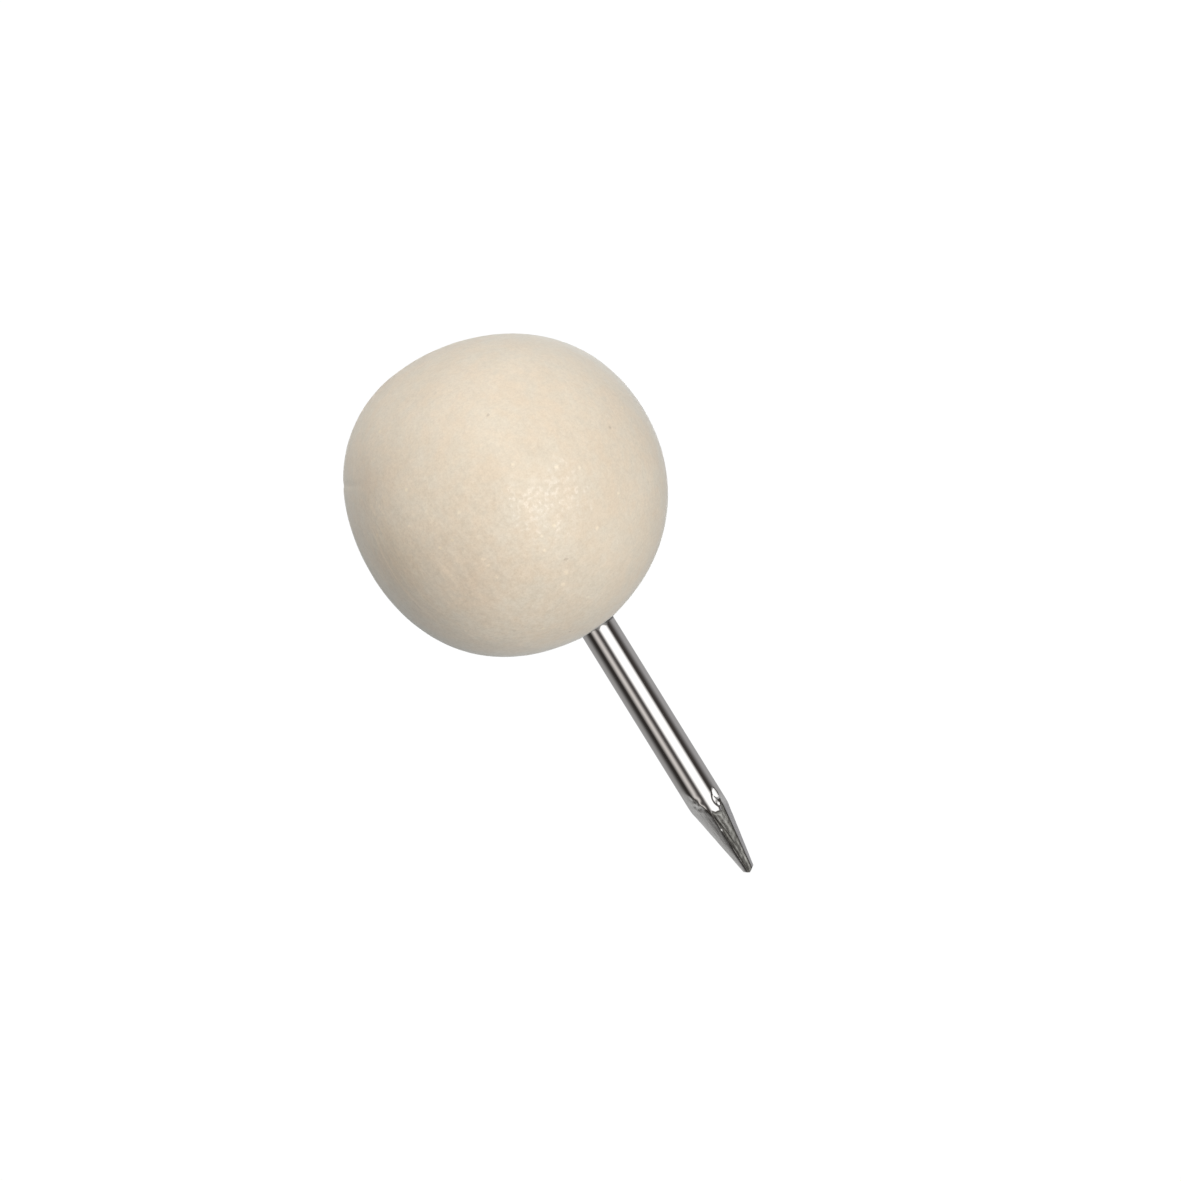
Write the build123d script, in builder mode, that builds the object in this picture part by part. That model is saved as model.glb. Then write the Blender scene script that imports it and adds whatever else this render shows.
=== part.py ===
from build123d import *
import os
from math import cos, radians, sin, tan

# Push pin: a turned wooden ball on a pointed steel wire, held by glue.
# The frame stands upright: +Z runs along the pin towards the crown of the ball,
# and the origin is on the pin's axis, level with the underside of the ball,
# where the pin leaves the head.  Millimetres.

os.makedirs("parts", exist_ok=True)

# ---- head ----
head_diameter = 10.0
head_offset_x = -0.26        # the hole was drilled a little to one side of the ball's centre
crown_flat_depth = 0.03      # the crown is a touch flat from turning
side_flat_distance = 4.74    # sanded flat on one side, parallel to the pin
side_flat_angle = 75.0       # direction of the flat, degrees from -Y towards -X

# ---- drilled hole ----
bore_diameter = 1.25
bore_depth = 7.8             # full-width depth
drill_point_angle = 118.0
mouth_break = 0.08           # broken edge at the mouth

# ---- pin ----
pin_diameter = 1.15
pin_exposed = 8.95
pin_embedded = 7.5
pin_end_chamfer = 0.2
barb_pitch = 0.7             # shallow rings rolled into the hidden end
barb_depth = 0.06
barb_count = 9

# ---- diamond point ----
# Each cut: its direction in degrees from -Y towards +X, then its distance from the axis
# at heights above the end.  The cuts come in opposite pairs that don't quite match.
point_cuts = (
    (-56.5, ((0.0, 0.137), (2.05, 0.395), (3.00, 0.586))),
    (123.5, ((0.0, 0.1875), (2.05, 0.436), (3.00, 0.586))),
    (28.0, ((0.0, 0.130), (1.87, 0.424), (2.17, 0.600))),
    (208.0, ((0.0, 0.130), (1.87, 0.424), (2.17, 0.600))),
    (54.0, ((0.0, 0.145), (2.76, 0.586))),
    (234.0, ((0.0, 0.095), (2.07, 0.420), (3.00, 0.586))),
)
end_slope_right = 30.0       # the end was nipped off roof-shaped, with its ridge along Y
end_slope_left = 32.0

# ---- glue ----
glue_start = 0.65            # the glue stops short of the mouth, so none shows outside

head_radius = head_diameter / 2
bore_radius = bore_diameter / 2
pin_radius = pin_diameter / 2
head_centre = Vector(head_offset_x, 0, head_radius)
drill_tip = bore_depth + bore_radius / tan(radians(drill_point_angle / 2))


def sideways(angle):
    """Level direction at an angle from -Y, positive towards +X."""
    return Vector(sin(radians(angle)), -cos(radians(angle)), 0)


# Turned wooden ball with the blind hole for the pin.
with BuildPart() as ball_head:
    with BuildSketch(Plane(origin=head_centre, x_dir=(1, 0, 0), z_dir=(0, -1, 0))):
        with BuildLine():
            ThreePointArc((0, -head_radius), (head_radius, 0), (0, head_radius))
            Line((0, head_radius), (0, -head_radius))
        make_face()
    revolve(axis=Axis(head_centre, (0, 0, 1)))
    # crown
    with BuildSketch(Plane.XY.offset(head_diameter - crown_flat_depth)):
        with Locations((head_offset_x, 0)):
            Circle(head_radius / 2)
    extrude(amount=1, mode=Mode.SUBTRACT)
    # sanded side
    flat_out = sideways(-side_flat_angle)
    with BuildSketch(
        Plane(
            origin=head_centre + flat_out * side_flat_distance,
            x_dir=(0, 0, 1),
            z_dir=flat_out,
        )
    ):
        Rectangle(head_radius * 1.2, head_radius * 1.2)
    extrude(amount=1, mode=Mode.SUBTRACT)
    # drilled hole with its cone bottom and broken edge
    with BuildSketch(Plane.XZ):
        with BuildLine():
            Polyline(
                (0, -0.5),
                (bore_radius + mouth_break + 0.5, -0.5),
                (bore_radius, mouth_break),
                (bore_radius, bore_depth),
                (0, drill_tip),
                close=True,
            )
        make_face()
    revolve(axis=Axis.Z, mode=Mode.SUBTRACT)

# Steel wire: plain round shank outside the head, ringed inside it.
barb_points = []
for ring in range(barb_count):
    foot = ring * barb_pitch
    barb_points.append((pin_radius, foot))
    barb_points.append((pin_radius - barb_depth, foot + barb_pitch))

with BuildPart() as steel_pin:
    with BuildSketch(Plane.XZ):
        with BuildLine():
            Polyline(
                (0, -pin_exposed),
                (pin_radius, -pin_exposed),
                *barb_points,
                (pin_radius, barb_count * barb_pitch),
                (pin_radius, pin_embedded - pin_end_chamfer),
                (pin_radius - pin_end_chamfer, pin_embedded),
                (0, pin_embedded),
                close=True,
            )
        make_face()
    revolve(axis=Axis.Z)
    # diamond point: every cut is a profile beside the axis, pushed right across the wire
    for angle, profile in point_cuts:
        out = sideways(angle)
        beside = Plane(
            origin=(0, 0, -pin_exposed),
            x_dir=out,
            z_dir=out.cross(Vector(0, 0, 1)),
        )
        slope_start = profile[0][1] - (profile[1][1] - profile[0][1]) * 0.1 / profile[1][0]
        with BuildSketch(beside):
            with BuildLine():
                Polyline(
                    (slope_start, -0.1),
                    *[(distance, height) for height, distance in profile],
                    (2 * pin_diameter, profile[-1][0]),
                    (2 * pin_diameter, -0.1),
                    close=True,
                )
            make_face()
        extrude(amount=pin_diameter, both=True, mode=Mode.SUBTRACT)
    # roof-shaped end
    with BuildSketch(Plane(origin=(0, 0, -pin_exposed), x_dir=(1, 0, 0), z_dir=(0, -1, 0))):
        with BuildLine():
            Polyline(
                (0, 0),
                (pin_diameter, pin_diameter * tan(radians(end_slope_right))),
                (pin_diameter, -pin_diameter),
                (-pin_diameter, -pin_diameter),
                (-pin_diameter, pin_diameter * tan(radians(end_slope_left))),
                close=True,
            )
        make_face()
    extrude(amount=pin_diameter, both=True, mode=Mode.SUBTRACT)

# Glue: everything of the hole that the pin leaves free.
with BuildPart() as glue_bond:
    with BuildSketch(Plane.XZ):
        with BuildLine():
            Polyline(
                (0, glue_start),
                (bore_radius, glue_start),
                (bore_radius, bore_depth),
                (0, drill_tip),
                close=True,
            )
        make_face()
    revolve(axis=Axis.Z)
    add(steel_pin.part, mode=Mode.SUBTRACT)

ball_head.part.label = "ball_head"
steel_pin.part.label = "steel_pin"
glue_bond.part.label = "glue_bond"

export_step(ball_head.part, "parts/ball_head.step")
export_step(steel_pin.part, "parts/steel_pin.step")
export_step(glue_bond.part, "parts/glue_bond.step")
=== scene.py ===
import math

import bpy
import numpy as np
from mathutils import Matrix, Vector


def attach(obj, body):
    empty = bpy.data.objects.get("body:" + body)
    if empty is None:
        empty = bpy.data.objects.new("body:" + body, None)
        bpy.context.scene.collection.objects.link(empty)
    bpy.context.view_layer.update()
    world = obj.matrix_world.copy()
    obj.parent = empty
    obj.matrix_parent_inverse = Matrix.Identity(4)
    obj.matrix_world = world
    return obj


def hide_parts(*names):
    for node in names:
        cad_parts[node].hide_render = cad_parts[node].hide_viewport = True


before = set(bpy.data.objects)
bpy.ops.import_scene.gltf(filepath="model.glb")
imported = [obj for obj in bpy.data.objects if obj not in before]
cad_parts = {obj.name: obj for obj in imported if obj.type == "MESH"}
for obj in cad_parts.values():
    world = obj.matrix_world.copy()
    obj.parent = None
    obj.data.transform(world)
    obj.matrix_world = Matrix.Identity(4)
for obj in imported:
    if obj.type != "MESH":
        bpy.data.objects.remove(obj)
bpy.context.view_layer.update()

# Mesh code works in millimetres; objects are in metres.
MM = 0.001

# ---- dimensions of the construction, mm ----
BALL_RADIUS = 5.0
BALL_CENTRE = np.array([-0.26, 0.0, 5.0])
BORE_RADIUS = 0.625
BORE_DEPTH = 7.8
DRILL_TIP = BORE_DEPTH + BORE_RADIUS / math.tan(math.radians(59.0))
PIN_RADIUS = 0.575
PIN_EXPOSED = 8.95
PIN_EMBEDDED = 7.5
BARB_PITCH, BARB_DEPTH, BARB_COUNT = 0.7, 0.06, 9

# The side that is looked at: level from -Y, three degrees above the horizon.
LOOK = math.radians(3.0)
SIDE_RIGHT = np.array([1.0, 0.0, 0.0])
SIDE_UP = np.array([0.0, math.sin(LOOK), math.cos(LOOK)])
SIDE_BACK = np.array([0.0, -math.cos(LOOK), math.sin(LOOK)])


def on_side(right, up):
    """Unit direction from the ball's centre to the point of the near side at right, up (in radii)."""
    near = math.sqrt(max(0.0, 1.0 - right * right - up * up))
    return SIDE_RIGHT * right + SIDE_UP * up + SIDE_BACK * near


def smooth(low, high, x):
    t = np.clip((x - low) / (high - low), 0.0, 1.0)
    return t * t * (3.0 - 2.0 * t)


def ripple(points, count, shortest, longest, seed, stretch=(1.0, 1.0, 1.0)):
    """Smooth seeded relief of about unit height: plane waves in many directions."""
    rng = np.random.default_rng(seed)
    total = np.zeros(len(points))
    for _ in range(count):
        way = rng.normal(size=3)
        way /= np.linalg.norm(way)
        way *= np.array(stretch)
        wave = 2.0 * math.pi / rng.uniform(shortest, longest)
        total += np.cos(points @ way * wave + rng.uniform(0.0, 2.0 * math.pi))
    return total * math.sqrt(2.0 / count)


def grid_faces(rows, cols):
    """Quads of a grid whose columns close on themselves; rows run away from the first."""
    faces = []
    for i in range(rows - 1):
        a, b = i * cols, (i + 1) * cols
        for j in range(cols):
            k = (j + 1) % cols
            faces.append((a + j, a + k, b + k, b + j))
    return faces


def make_object(name, points, faces, sharp=None):
    mesh = bpy.data.meshes.new(name)
    mesh.from_pydata((np.asarray(points) * MM).tolist(), [], faces)
    mesh.validate()
    mesh.update()
    mesh.shade_smooth()
    if sharp is not None:
        mesh.set_sharp_from_angle(angle=math.radians(sharp))
    obj = bpy.data.objects.new(name, mesh)
    bpy.context.scene.collection.objects.link(obj)
    return obj


def set_attribute(obj, name, values):
    attribute = obj.data.attributes.new(name, "FLOAT", "POINT")
    attribute.data.foreach_set("value", np.asarray(values, np.float32))


# ---------------------------------------------------------------- ball head

# Turning and sanding left the ball a little out of round: waves round the rim, in mm.
RIM_WAVES = (
    (1, 0.0265, 0.0032),
    (2, -0.0339, 0.0185),
    (3, 0.0631, -0.0071),
    (4, -0.0419, -0.0191),
    (5, -0.0058, 0.0040),
)
CREASE_AT = math.radians(214.6)
SANDED_WAY = on_side(-0.92, 0.0)
STREAK_WAY = on_side(-0.76, 0.0)

# Small marks of the near side: right, up (in radii), size in mm. The pale ones are partly painted highlights, glints
# of the varnish put in as pale colour, and partly pale strokes along the fibres; the dark ones are specks in the
# wood.
PALE_MARKS_AND_GLINTS = (
    (0.063, -0.613, 0.115),
    (0.010, -0.664, 0.105),
    (0.364, -0.484, 0.100),
    (-0.294, 0.030, 0.090),
    (-0.319, -0.283, 0.090),
    (-0.308, -0.329, 0.080),
    (-0.310, -0.414, 0.075),
    (0.097, -0.811, 0.095),
    (0.027, -0.432, 0.085),
    (0.057, -0.349, 0.080),
    (0.351, -0.045, 0.085),
    (0.465, -0.117, 0.080),
    (0.584, -0.368, 0.075),
    (0.132, 0.104, 0.085),
    (-0.699, 0.356, 0.085),
    (-0.698, 0.333, 0.085),
    (-0.698, 0.310, 0.085),
    (-0.697, 0.287, 0.085),
    (-0.604, 0.127, 0.075),
    (-0.644, -0.594, 0.080),
)
DARK_MARKS = (
    (0.104, -0.547, 0.095),
    (0.755, -0.007, 0.095),
    (0.163, 0.444, 0.080),
    (-0.385, -0.744, 0.065),
)


def ball_relief(d):
    """Departure of the wooden surface from a true ball, mm, for unit directions d from its centre."""
    right, up, near = d @ SIDE_RIGHT, d @ SIDE_UP, d @ SIDE_BACK
    around = np.arctan2(-up, right)
    rim = np.full(len(d), -0.0118)
    for k, c, s in RIM_WAVES:
        rim += c * np.cos(k * around) + s * np.sin(k * around)
    lift = rim * (1.0 - near * near) ** 2
    # sanded side, a soft flat parallel to the pin
    across = np.arctan2(d @ np.cross([0, 0, 1.0], SANDED_WAY), d @ SANDED_WAY)
    tall = np.arcsin(np.clip(d[:, 2], -1, 1))
    lift -= 0.075 * np.exp(-((across / 0.24) ** 2) - (tall / 0.55) ** 2)
    p = d * BALL_RADIUS
    lift += 0.0055 * ripple(p, 26, 2.2, 6.0, 11)
    lift += 0.0011 * ripple(p, 40, 0.55, 1.4, 12)
    # fibres stand a few micrometres proud along the pin's direction
    lift += 0.0008 * ripple(p, 60, 0.22, 0.5, 13, (1.0, 1.0, 0.08))
    # the drill pushed the wood up a little round the hole
    mouth = np.array([-BALL_CENTRE[0], 0.0, -BALL_RADIUS])
    lift += 0.068 * np.exp(-((np.linalg.norm(p - mouth, axis=1) / 0.85) ** 2))
    # the crown is a touch flat from turning
    lift -= 0.015 * np.exp(-(((1.0 - d[:, 2]) / 0.022) ** 2))
    # short crease at the rim
    reach = right * math.cos(CREASE_AT) - up * math.sin(CREASE_AT)
    aside = (right * math.sin(CREASE_AT) + up * math.cos(CREASE_AT)) * BALL_RADIUS
    lift -= 0.020 * np.exp(-((aside / 0.085) ** 2)) * smooth(0.80, 0.97, reach) * smooth(-0.28, -0.03, near)
    return lift


def ball_surface(d):
    """Points of the wooden surface along unit directions d from the point of the pin's axis level with the ball's centre."""
    hub = np.array([0.0, 0.0, BALL_CENTRE[2]])
    m = hub - BALL_CENTRE
    along = d @ m
    t = -along + np.sqrt(along**2 - m @ m + BALL_RADIUS**2)
    out = hub + d * t[:, None] - BALL_CENTRE
    out /= np.linalg.norm(out, axis=1)[:, None]
    return BALL_CENTRE + out * (BALL_RADIUS + ball_relief(out))[:, None]


def make_ball():
    cols, rows = 400, 218
    turn = np.arange(cols) * 2.0 * math.pi / cols
    start = math.asin(0.685 / BALL_RADIUS)
    beta = start + (math.pi - start) * np.arange(rows) / rows
    b, t = np.meshgrid(beta, turn, indexing="ij")
    d = np.stack([np.sin(b) * np.sin(t), -np.sin(b) * np.cos(t), -np.cos(b)], -1)
    skin = ball_surface(d.reshape(-1, 3)).reshape(rows, cols, 3)
    ring = skin[0]
    ring_r = np.hypot(ring[:, 0], ring[:, 1])
    rng = np.random.default_rng(5)
    torn = np.convolve(np.tile(rng.normal(size=cols), 3), np.ones(7) / 7.0, "same")[cols : 2 * cols]

    def level(radius_share, rise, rag=0.0):
        """A ring between the mouth's rim and the hole, risen into the wood."""
        r = ring_r + (BORE_RADIUS - ring_r) * radius_share + rag * torn
        z = ring[:, 2] * (1.0 - radius_share) + radius_share * 0.055 + rise + rag * 0.6 * torn
        return np.stack([np.sin(turn) * r, -np.cos(turn) * r, z], -1)

    def hole(r, z):
        return np.stack([np.sin(turn) * r, -np.cos(turn) * r, np.full(cols, z)], -1)

    inner = [
        hole(0.012, DRILL_TIP - 0.012 / math.tan(math.radians(59.0))),
        hole(0.32, DRILL_TIP - 0.32 / math.tan(math.radians(59.0))),
    ]
    inner += [hole(BORE_RADIUS, z) for z in (BORE_DEPTH, 6.4, 5.0, 3.6, 2.2, 1.1, 0.5, 0.26, 0.18)]
    inner += [level(0.95, 0.035), level(0.7, 0.012, 0.0006), level(0.35, 0.002, 0.001)]
    levels = inner + list(skin)
    points = np.concatenate(levels + [np.array([[0.0, 0.0, DRILL_TIP]]), ball_surface(np.array([[0.0, 0.0, 1.0]]))])
    n = len(levels)
    faces = grid_faces(n, cols)
    first, last = n * cols, n * cols + 1
    faces += [(first, (j + 1) % cols, j) for j in range(cols)]
    end = (n - 1) * cols
    faces += [(end + j, end + (j + 1) % cols, last) for j in range(cols)]
    return make_object("ball_head_wood", points, faces)


# ---------------------------------------------------------------- steel pin

def turned(theta, centre):
    """Angle from centre, between minus and plus half a turn."""
    return (theta - centre + math.pi) % (2.0 * math.pi) - math.pi


def point_radius(theta, s):
    """Radius of the exposed pin at angle theta, s mm above its end. Also how much of it is a ground face,
    how much the torn front or back face, and how close it is to one of the torn face's edges."""
    run_out = 0.095 * np.maximum(s - 2.05, 0.0) ** 2
    shapes = [np.full(len(s), PIN_RADIUS)]

    def face(angle, distance, belly=1.0):
        """A cut face: flat, or a little round across if belly is less than one, or hollow if it is more."""
        lean = np.cos(turned(theta, math.radians(angle)))
        shapes.append(distance / np.maximum(lean, 0.08) ** belly)

    face(-56.5, 0.1475 + 0.1355 * s, 0.6)
    face(123.5, 0.1875 + 0.121 * s + run_out)
    face(55.5, 1.0117 * (0.1476 + 0.163 * s), 0.75)
    face(234.0, 0.095 + 0.157 * s + run_out)
    for angle in (28.0, 208.0):
        # the torn face ends in a shoulder, round below the bright tongue of the wire
        off = np.degrees(turned(theta, math.radians(angle)))
        end = 2.29 - 0.0045 * (off + 17.0) + 0.40 * smooth(-1.0, 20.0, off) + 0.15 * smooth(-19.0, -34.0, off)
        base = 0.130 + 0.157 * s
        face(angle, base + (0.64 - base) * smooth(end - 0.22, end + 0.05, s), 1.06)
    # roof-shaped end
    across = np.sin(theta)
    shapes.append(s / np.maximum(across * math.tan(math.radians(30.0)), 0.01))
    shapes.append(s / np.maximum(-across * math.tan(math.radians(32.0)), 0.01))
    stack = np.stack(shapes)
    sharpness = 1.0 / 0.0055
    low = stack.min(0)
    weights = np.exp(-(stack - low) * sharpness)
    r = np.maximum(low - np.log(weights.sum(0)) / sharpness, 0.0)
    share = weights / weights.sum(0)
    torn = np.minimum(stack[5], stack[6])
    sides = np.minimum(stack[1], stack[2])
    outside = 0.014 + 0.076 * smooth(2.25, 2.0, s) + 0.04 * smooth(1.7, 1.2, s) + 0.03 * smooth(1.1, 0.6, s)
    inside = 0.085 + 0.035 * smooth(1.5, 1.9, s) + 0.03 * smooth(1.1, 0.7, s)
    edge, drop = torn - sides, torn - stack[0]
    crease = np.exp(-((edge / np.where(edge > 0.0, outside, inside)) ** 2)) * smooth(2.40, 2.20, s)
    crease *= np.exp(-np.maximum(np.minimum(torn, sides) - low, 0.0) / 0.02)
    brink = np.exp(-((drop / np.where(drop > 0.0, 0.014, 0.06)) ** 2)) * smooth(1.98, 2.10, s) * smooth(2.40, 2.20, s)
    brink *= np.exp(-np.maximum(np.minimum(torn, stack[0]) - low, 0.0) / 0.02)
    gap = torn - np.minimum(stack[3], stack[4])
    beside = np.exp(-((gap / np.where(gap > 0.0, 0.012, 0.028)) ** 2)) * smooth(2.58, 2.33, s) * smooth(0.0, 0.12, s)
    beside *= (0.5 + 0.45 * smooth(1.1, 1.9, s)) * np.exp(-np.maximum(torn - stack[0], 0.0) / 0.015)
    lip = np.exp(-(((stack[1] - stack[0]) / 0.03) ** 2)) * smooth(2.48, 2.36, s)
    # painted shade: these lines along the torn faces' edges and the shoulder are painted nearly black on the wire
    dark = np.maximum(np.maximum(crease, brink), np.maximum(beside, 1.4 * lip))
    return r, share[1:5].sum(0) + share[7:].sum(0), share[5:7].sum(0), dark


def pinch(r, theta, s0, at, half_width, height, half_height, low, rise):
    """Press a small oval into radius r: a steep wall at one side, a floor that rises to the other."""
    u = turned(theta, math.radians(at)) / math.radians(half_width)
    v = (s0 - height) / half_height
    inside = 1.0 - smooth(0.74, 1.04, np.sqrt(u * u + v * v))
    return r + (PIN_RADIUS - low + rise * (u + 1.0) - r) * inside, inside


def make_pin():
    cols = 190
    theta = np.arange(cols) * 2.0 * math.pi / cols
    profile = [(PIN_EMBEDDED, 0.2), (PIN_EMBEDDED, 0.36), (PIN_EMBEDDED - 0.015, 0.385)]
    profile += [(7.32, 0.56), (7.28, PIN_RADIUS), (BARB_COUNT * BARB_PITCH, PIN_RADIUS)]
    for k in reversed(range(BARB_COUNT)):
        foot = k * BARB_PITCH
        profile.append((foot + BARB_PITCH - 0.012, PIN_RADIUS - BARB_DEPTH))
        profile.append((foot + 0.02, PIN_RADIUS))
    heights, radii, ground, rough, creased = [], [], [], [], []
    for z, r in profile:
        heights.append(np.full(cols, z))
        radii.append(np.full(cols, r))
        ground.append(np.zeros(cols))
        rough.append(np.zeros(cols))
        creased.append(np.zeros(cols))
    reach = np.concatenate(
        [np.linspace(PIN_EXPOSED, 3.14, 46), np.linspace(3.12, 0.16, 174), np.linspace(0.146, 0.002, 12)]
    )
    for s0 in reach:
        s = np.full(cols, s0)
        r, facet, trim, crease = point_radius(theta, s)
        p = np.stack([np.sin(theta) * r, -np.cos(theta) * r, s], -1)
        # grinding lines along the faces and torn metal on the front and back
        fine = 0.0010 * (1.0 - 0.75 * np.exp(-((turned(theta, math.radians(58.0)) / 0.42) ** 2)))
        r = r + facet * fine * ripple(p, 30, 0.05, 0.16, 21, (1.0, 1.0, 0.10)) * min(1.0, s0 / 0.2)
        r = r + trim * 0.0014 * ripple(p, 30, 0.07, 0.20, 22, (1.0, 1.0, 0.09)) * min(1.0, s0 / 0.2)
        r = r + trim * 0.0012 * ripple(p, 20, 0.10, 0.30, 23)
        # chatter where the left face runs out: it rocks from side to side
        off = turned(theta, math.radians(-38.0))
        rock = math.cos(2.0 * math.pi * (s0 - 2.80) / 0.33) * math.exp(-(((s0 - 2.63) / 0.25) ** 2))
        r = r - 0.17 * rock * off * np.exp(-((off / 0.24) ** 2))
        # pinch marks beside the round ridge
        r, broad = pinch(r, theta, s0, 36.0, 17.0, 2.51, 0.27, 0.030, 0.022)
        r, large = pinch(r, theta, s0, 44.0, 11.0, 2.69, 0.20, 0.074, 0.047)
        r, small = pinch(r, theta, s0, 32.5, 5.0, 2.38, 0.075, 0.034, 0.021)
        facet = facet * (1.0 - 0.6 * broad)
        facet = facet * (1.0 - large) * (1.0 - small)
        heights.append(s - PIN_EXPOSED)
        radii.append(r)
        ground.append(facet)
        rough.append(trim)
        # painted shade: a small dark spot by the small pinch mark
        notch = np.exp(-((turned(theta, math.radians(30.5)) / 0.16) ** 2) - ((s0 - 2.455) / 0.055) ** 2)
        creased.append(np.maximum(crease, 0.8 * notch))
    last = radii[-1]
    for share in (0.66, 0.33):
        heights.append(np.full(cols, -PIN_EXPOSED))
        radii.append(last * share)
        ground.append(np.ones(cols))
        rough.append(np.zeros(cols))
        creased.append(np.zeros(cols))
    r, z = np.stack(radii), np.stack(heights)
    points = np.stack([np.sin(theta) * r, -np.cos(theta) * r, z], -1).reshape(-1, 3)
    points = np.concatenate([points, [[0.0, 0.0, PIN_EMBEDDED], [0.0, 0.0, -PIN_EXPOSED]]])
    n = len(radii)
    top, tip = n * cols, n * cols + 1
    faces = [tuple(reversed(f)) for f in grid_faces(n, cols)]
    faces += [(top, j, (j + 1) % cols) for j in range(cols)]
    end = (n - 1) * cols
    faces += [(end + (j + 1) % cols, end + j, tip) for j in range(cols)]
    obj = make_object("steel_pin_wire", points, faces, 38)
    set_attribute(obj, "ground", np.concatenate([np.stack(ground).reshape(-1), [0.0, 1.0]]))
    set_attribute(obj, "torn", np.concatenate([np.stack(rough).reshape(-1), [0.0, 0.0]]))
    set_attribute(obj, "crease", np.concatenate([np.stack(creased).reshape(-1), [0.0, 0.0]]))
    return obj


# ---------------------------------------------------------------- node helpers


class Nodes:
    """Short calls for building a node tree."""

    def __init__(self, tree):
        self.tree = tree
        tree.nodes.clear()

    def add(self, kind, inputs=None, **settings):
        node = self.tree.nodes.new(kind)
        for key, value in settings.items():
            setattr(node, key, value)
        for key, value in (inputs or {}).items():
            self.put(node.inputs[key], value)
        return node

    def put(self, socket, value):
        if isinstance(value, bpy.types.NodeSocket):
            self.tree.links.new(value, socket)
        else:
            socket.default_value = value

    def math(self, operation, a, b=None, c=None, clamp=False):
        node = self.add("ShaderNodeMath", operation=operation, use_clamp=clamp)
        for i, value in enumerate((a, b, c)):
            if value is not None:
                self.put(node.inputs[i], value)
        return node.outputs[0]

    def vector(self, operation, a, b=None):
        node = self.add("ShaderNodeVectorMath", operation=operation)
        for i, value in enumerate((a, b)):
            if value is not None:
                self.put(node.inputs[i], value)
        return node.outputs["Value"] if operation in ("DOT_PRODUCT", "LENGTH", "DISTANCE") else node.outputs["Vector"]

    def ramp(self, value, low, high, to_low=0.0, to_high=1.0):
        node = self.add(
            "ShaderNodeMapRange",
            {"Value": value, "From Min": low, "From Max": high, "To Min": to_low, "To Max": to_high},
            interpolation_type="SMOOTHSTEP",
        )
        return node.outputs["Result"]

    def mix(self, factor, a, b, blend="MIX"):
        node = self.add("ShaderNodeMix", data_type="RGBA", blend_type=blend)
        self.put(node.inputs[0], factor)
        self.put(node.inputs[6], a)
        self.put(node.inputs[7], b)
        return node.outputs[2]

    def noise(self, vector, scale, detail=2.0, roughness=0.5, distortion=0.0):
        node = self.add(
            "ShaderNodeTexNoise",
            {"Vector": vector, "Scale": scale, "Detail": detail, "Roughness": roughness, "Distortion": distortion},
        )
        return node.outputs["Fac"]

    def bump(self, height, micrometres, normal=None):
        node = self.add("ShaderNodeBump", {"Height": height, "Strength": 1.0, "Distance": micrometres * 1e-6})
        if normal is not None:
            self.put(node.inputs["Normal"], normal)
        return node.outputs["Normal"]


def new_material(name):
    material = bpy.data.materials.new(name)
    material.use_nodes = True
    nodes = Nodes(material.node_tree)
    shader = nodes.add("ShaderNodeBsdfPrincipled")
    out = nodes.add("ShaderNodeOutputMaterial")
    nodes.tree.links.new(shader.outputs["BSDF"], out.inputs["Surface"])
    where = nodes.add("ShaderNodeTexCoord").outputs["Object"]
    p = nodes.vector("MULTIPLY", where, (1000.0, 1000.0, 1000.0))
    return material, nodes, shader, p


# ---------------------------------------------------------------- materials


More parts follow.
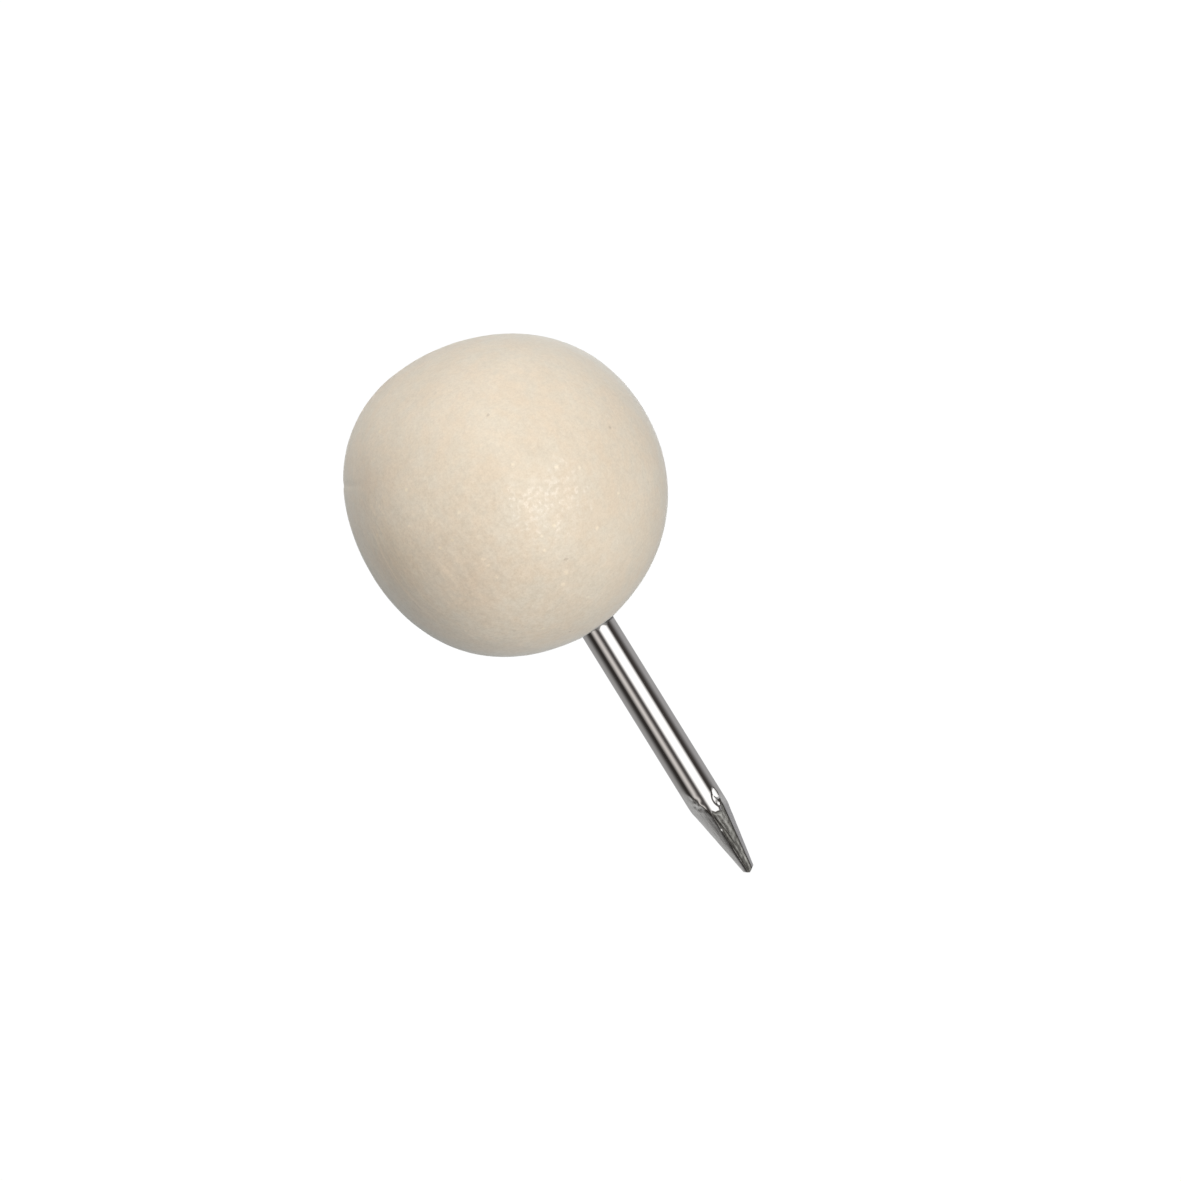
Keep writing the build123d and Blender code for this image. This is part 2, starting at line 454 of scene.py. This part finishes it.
def make_wood():
    """Pale close-grained wood under a thin broken satin varnish. The fibres run along the pin."""
    material, n, shader, p = new_material("pale_wood")
    fibre = n.noise(n.vector("MULTIPLY", p, (1.0, 1.0, 0.07)), 4.6, 5.0, 0.62)
    band = n.noise(n.vector("MULTIPLY", p, (1.0, 1.0, 0.10)), 0.75, 2.0, 0.5)
    cloud = n.noise(p, 0.42, 3.0, 0.55)
    fleck = n.noise(p, 2.6, 3.0, 0.6)
    # growth rings round a heart far off to one side
    heart = n.vector("ADD", n.vector("MULTIPLY", p, (1.0, 1.0, 0.0)), (13.0, -9.0, 0.0))
    ring = n.math("SINE", n.math("ADD", n.math("MULTIPLY", n.vector("LENGTH", heart), 5.2), n.math("MULTIPLY", cloud, 5.0)))
    tone = n.math("MULTIPLY_ADD", n.math("SUBTRACT", fibre, 0.5), 0.48, 0.5)
    tone = n.math("MULTIPLY_ADD", n.math("SUBTRACT", band, 0.5), 0.45, tone)
    tone = n.math("MULTIPLY_ADD", n.math("SUBTRACT", cloud, 0.5), 0.40, tone)
    tone = n.math("MULTIPLY_ADD", n.math("SUBTRACT", fleck, 0.5), 0.34, tone)
    grain = n.noise(p, 8.5, 3.0, 0.6)
    dust = n.noise(p, 19.0, 1.0, 0.5)
    tone = n.math("MULTIPLY_ADD", n.math("SUBTRACT", grain, 0.5), 1.15, tone)
    tone = n.math("MULTIPLY_ADD", n.math("SUBTRACT", dust, 0.5), 0.95, tone)
    # the low side, sanded less finely, is less even
    away = n.vector("NORMALIZE", n.vector("SUBTRACT", p, tuple(BALL_CENTRE)))
    side_mask = n.ramp(n.vector("DOT_PRODUCT", away, tuple(on_side(-0.66, -0.42))), 0.40, 0.86)
    uneven = n.math("MULTIPLY_ADD", n.math("SUBTRACT", fibre, 0.5), 0.8, n.math("SUBTRACT", grain, 0.5))
    uneven = n.math("MULTIPLY_ADD", n.math("SUBTRACT", fleck, 0.5), 0.6, uneven)
    tone = n.math("MULTIPLY_ADD", n.math("MULTIPLY", uneven, side_mask), 0.6, tone)
    tone = n.math("MULTIPLY_ADD", ring, 0.04, tone, clamp=True)
    colour = n.mix(tone, (0.729, 0.625, 0.487, 1.0), (0.858, 0.753, 0.604, 1.0))
    hue = n.noise(n.vector("ADD", p, (7.0, 3.0, 1.0)), 0.85, 3.0, 0.55)
    colour = n.mix(n.ramp(hue, 0.38, 0.66), colour, n.mix(1.0, colour, (1.0, 0.982, 0.968, 1.0), "MULTIPLY"))
    tint = n.noise(n.vector("ADD", p, (1.0, 9.0, 5.0)), 2.3, 2.0, 0.5)
    tint = n.mix(n.ramp(tint, 0.32, 0.68), (1.012, 0.998, 0.985, 1.0), (0.988, 1.002, 1.015, 1.0))
    colour = n.mix(1.0, colour, tint, "MULTIPLY")
    # pale sanding streaks along the fibres on one side
    facing = n.vector("DOT_PRODUCT", away, tuple(STREAK_WAY))
    streak = n.noise(n.vector("MULTIPLY", p, (1.0, 1.0, 0.05)), 3.4, 2.0, 0.5)
    streak = n.math("MULTIPLY", n.ramp(streak, 0.53, 0.68), n.ramp(facing, 0.86, 0.97))
    colour = n.mix(n.math("MULTIPLY", streak, 0.8), colour, n.mix(1.0, colour, (1.12, 1.115, 1.10, 1.0), "MULTIPLY"))
    # small pale flecks, spread thinly
    dot = n.add("ShaderNodeTexVoronoi", {"Vector": n.vector("ADD", p, (5.0, 2.0, 8.0)), "Scale": 1.55})
    few = n.ramp(n.add("ShaderNodeSeparateColor", {"Color": dot.outputs["Color"]}).outputs[2], 0.74, 0.80)
    pale = n.math("MULTIPLY", n.ramp(dot.outputs["Distance"], 0.13, 0.05), few)
    colour = n.mix(n.math("MULTIPLY", pale, 0.8), colour, n.mix(1.0, colour, (1.13, 1.12, 1.06, 1.0), "MULTIPLY"))
    wander = n.add("ShaderNodeTexNoise", {"Vector": p, "Scale": 7.0, "Detail": 2.0}).outputs["Color"]
    wander = n.vector("MULTIPLY", n.vector("SUBTRACT", wander, (0.5, 0.5, 0.5)), (0.16, 0.16, 0.16))
    wander = n.vector("ADD", p, wander)

    def marks(places):
        total = None
        for right, up, size in places:
            middle = BALL_CENTRE + BALL_RADIUS * on_side(right, up)
            one = n.ramp(n.vector("DISTANCE", wander, tuple(middle)), size, 0.3 * size)
            total = one if total is None else n.math("MAXIMUM", total, one)
        return total

    # pale marks: partly painted highlights (varnish glints as pale colour), partly pale fibre strokes
    colour = n.mix(n.math("MULTIPLY", marks(PALE_MARKS_AND_GLINTS), 0.9), colour, n.mix(1.0, colour, (1.16, 1.16, 1.14, 1.0), "MULTIPLY"))
    colour = n.mix(n.math("MULTIPLY", marks(DARK_MARKS), 0.42), colour, (0.42, 0.33, 0.24, 1.0))
    # brownish patch by the crease at the rim
    patch = Vector(BALL_CENTRE + BALL_RADIUS * on_side(-0.66, 0.50))
    far = n.vector("DISTANCE", p, tuple(patch))
    stain = n.math("MULTIPLY", n.ramp(far, 1.7, 0.1), n.ramp(fleck, 0.25, 0.75, 0.35, 1.0))
    colour = n.mix(n.math("MULTIPLY", stain, 0.75), colour, n.mix(1.0, colour, (0.955, 0.905, 0.87, 1.0), "MULTIPLY"))
    # a warmer patch low on the near side
    warm = n.ramp(n.vector("DISTANCE", p, tuple(BALL_CENTRE + BALL_RADIUS * on_side(-0.49, -0.31))), 2.2, 0.3)
    colour = n.mix(warm, colour, n.mix(1.0, colour, (0.975, 0.945, 0.925, 1.0), "MULTIPLY"))
    # and a browner one on the sanded side
    brown = n.ramp(n.vector("DISTANCE", p, tuple(BALL_CENTRE + BALL_RADIUS * on_side(-0.83, 0.0))), 2.0, 0.2)
    colour = n.mix(brown, colour, n.mix(1.0, colour, (0.99, 0.945, 0.89, 1.0), "MULTIPLY"))
    # few small dark pores, a little longer along the fibres
    cell = n.add(
        "ShaderNodeTexVoronoi",
        {"Vector": n.vector("MULTIPLY", p, (1.0, 1.0, 0.6)), "Scale": 1.35, "Randomness": 1.0},
    )
    pick = n.ramp(n.add("ShaderNodeSeparateColor", {"Color": cell.outputs["Color"]}).outputs[0], 0.86, 0.90)
    pore = n.math("MULTIPLY", n.ramp(cell.outputs["Distance"], 0.085, 0.035), pick)
    colour = n.mix(n.math("MULTIPLY", pore, 0.65), colour, (0.36, 0.26, 0.175, 1.0))
    # painted shade: the wood round the edge of the hole is darkened where the wire meets it
    axis = n.vector("LENGTH", n.vector("MULTIPLY", p, (1.0, 1.0, 0.0)))
    low = n.ramp(n.add("ShaderNodeSeparateXYZ", {0: p}).outputs[2], 0.4, 0.2)
    hole_edge_shade = n.math("MULTIPLY", n.ramp(axis, 0.92, 0.64), low)
    colour = n.mix(n.math("MULTIPLY", hole_edge_shade, 0.8), colour, (0.33, 0.29, 0.25, 1.0))
    n.put(shader.inputs["Base Color"], colour)
    gloss = n.noise(p, 3.2, 3.0, 0.65)
    n.put(shader.inputs["Roughness"], n.ramp(gloss, 0.34, 0.66, 0.48, 0.62))
    shader.inputs["IOR"].default_value = 1.5
    shader.inputs["Specular IOR Level"].default_value = 0.14
    normal = n.bump(fibre, 5.0)
    normal = n.bump(fleck, 4.5, normal)
    normal = n.bump(n.math("SUBTRACT", 1.0, pore), 8.0, normal)
    n.put(shader.inputs["Normal"], normal)
    # the varnish sank in unevenly: it shines in small spots, which grit and drops tilt this way and that
    spot = n.ramp(n.noise(p, 6.4, 1.5, 0.5), 0.47, 0.63)
    area = n.ramp(n.noise(n.vector("ADD", p, (2.0, 6.0, 4.0)), 1.15, 2.0, 0.5), 0.38, 0.58, 0.62, 1.0)
    shine = n.math("MULTIPLY_ADD", n.math("MULTIPLY", spot, area), 0.50, 0.02)
    shine = n.math("MULTIPLY", shine, n.ramp(axis, 0.9, 1.5))
    slant = n.add("ShaderNodeLayerWeight", {"Blend": 0.5}).outputs["Facing"]
    n.put(shader.inputs["Coat Weight"], n.math("MULTIPLY", shine, n.ramp(slant, 0.70, 0.40)))
    shader.inputs["Coat Roughness"].default_value = 0.20
    shader.inputs["Coat IOR"].default_value = 1.6
    grit = n.noise(p, 5.6, 2.0, 0.5)
    drop = n.add("ShaderNodeTexVoronoi", {"Vector": n.vector("ADD", p, (3.0, 1.0, 2.0)), "Scale": 1.7})
    some = n.ramp(n.add("ShaderNodeSeparateColor", {"Color": drop.outputs["Color"]}).outputs[1], 0.60, 0.66)
    bead = n.math("MULTIPLY", n.ramp(drop.outputs["Distance"], 0.15, 0.02), some)
    tilt = n.bump(grit, 22.0, normal)
    n.put(shader.inputs["Coat Normal"], n.bump(bead, 12.0, tilt))
    # fine fuzz catches light at the rim
    shader.inputs["Sheen Weight"].default_value = 0.42
    shader.inputs["Sheen Roughness"].default_value = 0.5
    shader.inputs["Sheen Tint"].default_value = (0.82, 0.93, 1.0, 1.0)
    return material


def make_steel():
    """Bright drawn wire; the point is ground matt, and torn along two ridges."""
    material, n, shader, p = new_material("bright_steel")
    ground = n.add("ShaderNodeAttribute", attribute_name="ground").outputs["Fac"]
    torn = n.add("ShaderNodeAttribute", attribute_name="torn").outputs["Fac"]
    crease = n.add("ShaderNodeAttribute", attribute_name="crease").outputs["Fac"]
    worked = n.math("ADD", ground, torn, clamp=True)
    lines = n.noise(n.vector("MULTIPLY", p, (1.0, 1.0, 0.03)), 16.0, 4.0, 0.65)
    smear = n.noise(n.vector("MULTIPLY", p, (1.0, 1.0, 0.25)), 4.0, 3.0, 0.6)
    grit = n.noise(p, 11.0, 3.0, 0.6)
    bright = n.mix(lines, (0.60, 0.585, 0.575, 1.0), (0.69, 0.68, 0.67, 1.0))
    matt = n.mix(n.ramp(smear, 0.3, 0.7), (0.80, 0.80, 0.79, 1.0), (0.93, 0.93, 0.92, 1.0))
    blotch = n.noise(n.vector("MULTIPLY", p, (1.0, 1.0, 0.5)), 4.6, 2.0, 0.5)
    # the torn metal is palest in a band along its middle, and near the shoulder
    across, _, height = n.add("ShaderNodeSeparateXYZ", {0: p}).outputs
    aside = n.math("ABSOLUTE", n.math("SUBTRACT", across, n.math("MULTIPLY_ADD", height, 0.065, 0.632)))
    band = n.math("MULTIPLY_ADD", n.ramp(aside, 0.15, 0.03), 0.6, n.ramp(blotch, 0.34, 0.66, 0.0, 0.4))
    fresh = n.ramp(height, -7.6, -7.05)
    deep = n.mix(fresh, (0.33, 0.326, 0.30, 1.0), (0.40, 0.396, 0.37, 1.0))
    dull = n.mix(band, deep, n.mix(fresh, (0.43, 0.427, 0.40, 1.0), (0.58, 0.575, 0.545, 1.0)))
    # painted shade: the face right of the torn one is painted darker
    side_mask = n.math("MULTIPLY", n.ramp(across, 0.06, 0.14), n.ramp(height, -6.55, -6.85))
    matt = n.mix(side_mask, matt, (0.64, 0.64, 0.645, 1.0))
    colour = n.mix(ground, bright, matt)
    colour = n.mix(torn, colour, dull)
    # painted shade: the edge lines of the point are painted nearly black
    dark = n.math("MULTIPLY", crease, n.ramp(grit, 0.25, 0.6, 0.62, 0.95), clamp=True)
    colour = n.mix(dark, colour, (0.075, 0.070, 0.064, 1.0))
    # painted highlight: a pale spot where a small burr stands on the point
    burr_highlight = n.ramp(n.vector("DISTANCE", p, (-0.068, -0.45, -7.33)), 0.06, 0.025)
    colour = n.mix(n.math("MULTIPLY", burr_highlight, 0.8), colour, (0.82, 0.81, 0.79, 1.0))
    # painted shade: a dark ring where the wire meets the wood, rougher there too
    aside = n.math("ABSOLUTE", n.math("SUBTRACT", across, 0.12))
    ring_edge_rise = n.math("MULTIPLY", n.ramp(aside, 0.02, 0.13), n.ramp(aside, 0.26, 0.14))
    height = n.math("MULTIPLY_ADD", ring_edge_rise, 0.06, height)
    ring = n.ramp(n.math("MULTIPLY_ADD", n.math("SUBTRACT", grit, 0.5), 0.03, height), -0.020, 0.012)
    colour = n.mix(n.math("MULTIPLY", ring, 0.7), colour, (0.16, 0.15, 0.14, 1.0))
    n.put(shader.inputs["Base Color"], colour)
    shader.inputs["Metallic"].default_value = 1.0
    rough = n.math("MULTIPLY_ADD", lines, 0.05, 0.055)
    rough = n.math("ADD", rough, n.math("MULTIPLY", worked, n.ramp(grit, 0.3, 0.7, 0.14, 0.27)))
    rough = n.math("MULTIPLY_ADD", ring, 0.3, rough)
    n.put(shader.inputs["Roughness"], rough)
    normal = n.bump(lines, 0.25)
    normal = n.bump(n.math("MULTIPLY", n.math("ADD", smear, grit), worked), 2.0, normal)
    n.put(shader.inputs["Normal"], normal)
    return material


def make_glue():
    """Set wood glue: pale amber with clouds and small bubbles."""
    material, n, shader, p = new_material("set_glue")
    cloud = n.noise(p, 1.8, 3.0, 0.6)
    bubble = n.add("ShaderNodeTexVoronoi", {"Vector": p, "Scale": 5.0}).outputs["Distance"]
    colour = n.mix(cloud, (0.62, 0.50, 0.27, 1.0), (0.78, 0.68, 0.46, 1.0))
    colour = n.mix(n.ramp(bubble, 0.16, 0.08), colour, (0.86, 0.80, 0.66, 1.0))
    n.put(shader.inputs["Base Color"], colour)
    n.put(shader.inputs["Roughness"], n.ramp(cloud, 0.3, 0.7, 0.14, 0.30))
    n.put(shader.inputs["Normal"], n.bump(bubble, 12.0))
    return material


ball = make_ball()
pin = make_pin()
ball.data.materials.append(make_wood())
pin.data.materials.append(make_steel())
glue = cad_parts["glue_bond"]
glue.data.materials.clear()
glue.data.materials.append(make_glue())

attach(ball, "root")
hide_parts("ball_head")
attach(pin, "root")
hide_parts("steel_pin")
pin.visible_diffuse = False

# ---------------------------------------------------------------- floor

half = 1.5
floor_mesh = bpy.data.meshes.new("floor")
level = -(PIN_EXPOSED + 0.01) * MM
floor_mesh.from_pydata(
    [(-half, -half, level), (half, -half, level), (half, half, level), (-half, half, level)], [], [(0, 1, 2, 3)]
)
floor = bpy.data.objects.new("floor", floor_mesh)
bpy.context.scene.collection.objects.link(floor)
floor_material = bpy.data.materials.new("white_paper")
floor_material.use_nodes = True
fn = Nodes(floor_material.node_tree)
glow = fn.add("ShaderNodeEmission", {"Color": (1.0, 1.0, 1.0, 1.0), "Strength": 1.03})
matte = fn.add("ShaderNodeBsdfDiffuse", {"Color": (0.9, 0.9, 0.9, 1.0)})
blend = fn.add("ShaderNodeMixShader", {0: 0.03})
floor_out = fn.add("ShaderNodeOutputMaterial")
fn.tree.links.new(glow.outputs[0], blend.inputs[1])
fn.tree.links.new(matte.outputs[0], blend.inputs[2])
fn.tree.links.new(blend.outputs[0], floor_out.inputs["Surface"])
floor_mesh.materials.append(floor_material)
floor.visible_diffuse = False
floor.visible_glossy = False
floor.visible_transmission = False
floor.visible_shadow = False

# ---------------------------------------------------------------- light


def heading(azimuth, elevation):
    """Unit direction at an azimuth from -Y towards +X and an elevation, degrees."""
    a, e = math.radians(azimuth), math.radians(elevation)
    return Vector((math.sin(a) * math.cos(e), -math.cos(a) * math.cos(e), math.sin(e)))


def soft_box(name, azimuth, elevation, wide, tall, radiance, distance=0.3):
    """Square light that spans wide by tall degrees each side of its centre, seen from the object."""
    light = bpy.data.lights.new(name, "AREA")
    light.shape = "RECTANGLE"
    light.size = 2.0 * distance * math.tan(math.radians(wide))
    light.size_y = 2.0 * distance * math.tan(math.radians(tall))
    light.energy = radiance * math.pi * light.size * light.size_y
    obj = bpy.data.objects.new(name, light)
    bpy.context.scene.collection.objects.link(obj)
    way = heading(azimuth, elevation)
    obj.location = Vector((0.0, 0.0, 0.002)) + way * distance
    obj.rotation_euler = way.to_track_quat("Z", "Y").to_euler()
    obj.visible_camera = False
    return obj


BOX_AZIMUTH, BOX_ELEVATION, BOX_WIDE, BOX_TALL = 22.0, -18.0, 27.0, 19.0
front = soft_box("front_soft_box", BOX_AZIMUTH, BOX_ELEVATION, BOX_WIDE, BOX_TALL, 3.80)
# the lamp lights the wood; the wire mirrors the same box as a panel of the surroundings
wood_only = bpy.data.collections.new("lit_by_front_soft_box")
wood_only.objects.link(ball)
front.light_linking.receiver_collection = wood_only

world = bpy.data.worlds.new("studio")
bpy.context.scene.world = world
world.use_nodes = True
world.cycles.sampling_method = "NONE"
w = Nodes(world.node_tree)
way = w.add("ShaderNodeTexCoord").outputs["Generated"]
axes = w.add("ShaderNodeSeparateXYZ", {0: way}).outputs


def lobe(azimuth, elevation, width, strength):
    dot = w.vector("DOT_PRODUCT", way, tuple(heading(azimuth, elevation)))
    return w.math("MULTIPLY", w.math("EXPONENT", w.math("MULTIPLY_ADD", dot, width, -width)), strength)


def disc(azimuth, elevation, inner, outer, strength):
    dot = w.vector("DOT_PRODUCT", way, tuple(heading(azimuth, elevation)))
    return w.math("MULTIPLY", w.ramp(dot, math.cos(math.radians(outer)), math.cos(math.radians(inner))), strength)


# light that falls on the matt wood: a broad light overhead, a little from below, one behind
fill = w.math("ADD", lobe(13.7, 81.9, 4.5, 2.10), 0.085)
fill = w.math("ADD", fill, lobe(-30.0, 0.0, 4.0, 0.19))
below = w.math("MULTIPLY", w.math("POWER", w.math("MAXIMUM", w.math("MULTIPLY", axes[2], -1.0), 0.0), 1.5), 0.31)
fill = w.math("ADD", fill, below)
fill = w.math("ADD", fill, disc(174.5, 8.0, 19.0, 25.0, 2.45))
# what the polished wire mirrors: dark and pale panels round the horizon
turn_share = w.math("MULTIPLY_ADD", w.math("ARCTAN2", axes[0], w.math("MULTIPLY", axes[1], -1.0)), 0.5 / math.pi, 0.5)
azimuth = w.math("MULTIPLY_ADD", turn_share, 360.0, -180.0)
panels = w.mix(w.ramp(azimuth, -12.0, 74.0), (0.110, 0.100, 0.097, 1.0), (0.064, 0.056, 0.052, 1.0))
for edge, full, panel in (
    (72.0, 117.0, (0.485, 0.478, 0.482, 1.0)),    # pale wall, right
    (-17.5, -39.0, (0.93, 0.885, 0.85, 1.0)),      # narrow bright strip
    (-39.0, -66.0, (0.043, 0.038, 0.035, 1.0)),   # dark flag
    (-75.0, -119.0, (0.43, 0.425, 0.42, 1.0)),    # pale wall, left
):
    panels = w.mix(w.ramp(azimuth, edge, full), panels, panel)
panels = w.mix(w.ramp(w.math("ABSOLUTE", azimuth), 118.0, 160.0), panels, (0.465, 0.463, 0.468, 1.0))
mirrored = w.mix(w.ramp(axes[2], -0.45, -0.70), panels, (0.56, 0.56, 0.55, 1.0))
mirrored = w.mix(w.ramp(axes[2], 0.16, 0.40), mirrored, (0.70, 0.70, 0.71, 1.0))

inside = w.math("MULTIPLY", w.ramp(azimuth, -11.0, 9.5), w.ramp(azimuth, 62.0, 40.0))
inside = w.math("MULTIPLY", inside, w.math("MULTIPLY", w.ramp(axes[2], -0.74, -0.60), w.ramp(axes[2], 0.26, 0.08)))
mirrored = w.mix(inside, mirrored, (1.68, 1.68, 1.67, 1.0))

seen = w.add("ShaderNodeBackground", {"Color": (1.0, 1.0, 1.0, 1.0), "Strength": 1.03})
lit = w.add("ShaderNodeBackground", {"Color": (1.0, 1.0, 1.0, 1.0), "Strength": fill})
shiny = w.add("ShaderNodeBackground", {"Color": mirrored, "Strength": 1.0})
path = w.add("ShaderNodeLightPath")
inner = w.add("ShaderNodeMixShader", {0: path.outputs["Is Glossy Ray"]})
outer = w.add("ShaderNodeMixShader", {0: path.outputs["Is Camera Ray"]})
world_out = w.add("ShaderNodeOutputWorld")
for a, b in (
    (lit.outputs[0], inner.inputs[1]),
    (shiny.outputs[0], inner.inputs[2]),
    (inner.outputs[0], outer.inputs[1]),
    (seen.outputs[0], outer.inputs[2]),
    (outer.outputs[0], world_out.inputs["Surface"]),
):
    w.tree.links.new(a, b)

# ---------------------------------------------------------------- camera

bpy.context.scene.view_settings.view_transform = "Standard"
bpy.context.scene.view_settings.look = "None"

ROLL = math.radians(31.75)
STAND_OFF = 200.0
FRAME_WIDTH = 36.45          # mm of the object's plane across the picture
right = math.cos(ROLL) * SIDE_RIGHT - math.sin(ROLL) * SIDE_UP
up = math.sin(ROLL) * SIDE_RIGHT + math.cos(ROLL) * SIDE_UP
place = BALL_CENTRE + STAND_OFF * SIDE_BACK + 2.621 * right - 2.986 * up
camera_data = bpy.data.cameras.new("camera")
camera_data.sensor_fit = "HORIZONTAL"
camera_data.sensor_width = 36.0
camera_data.lens = 36.0 * STAND_OFF / FRAME_WIDTH
camera_data.clip_start = 0.005
camera_data.clip_end = 20.0
camera = bpy.data.objects.new("camera", camera_data)
bpy.context.scene.collection.objects.link(camera)
turn = Matrix((right, up, SIDE_BACK)).transposed().to_4x4()
camera.matrix_world = Matrix.Translation(Vector(place * MM)) @ turn
bpy.context.scene.camera = camera
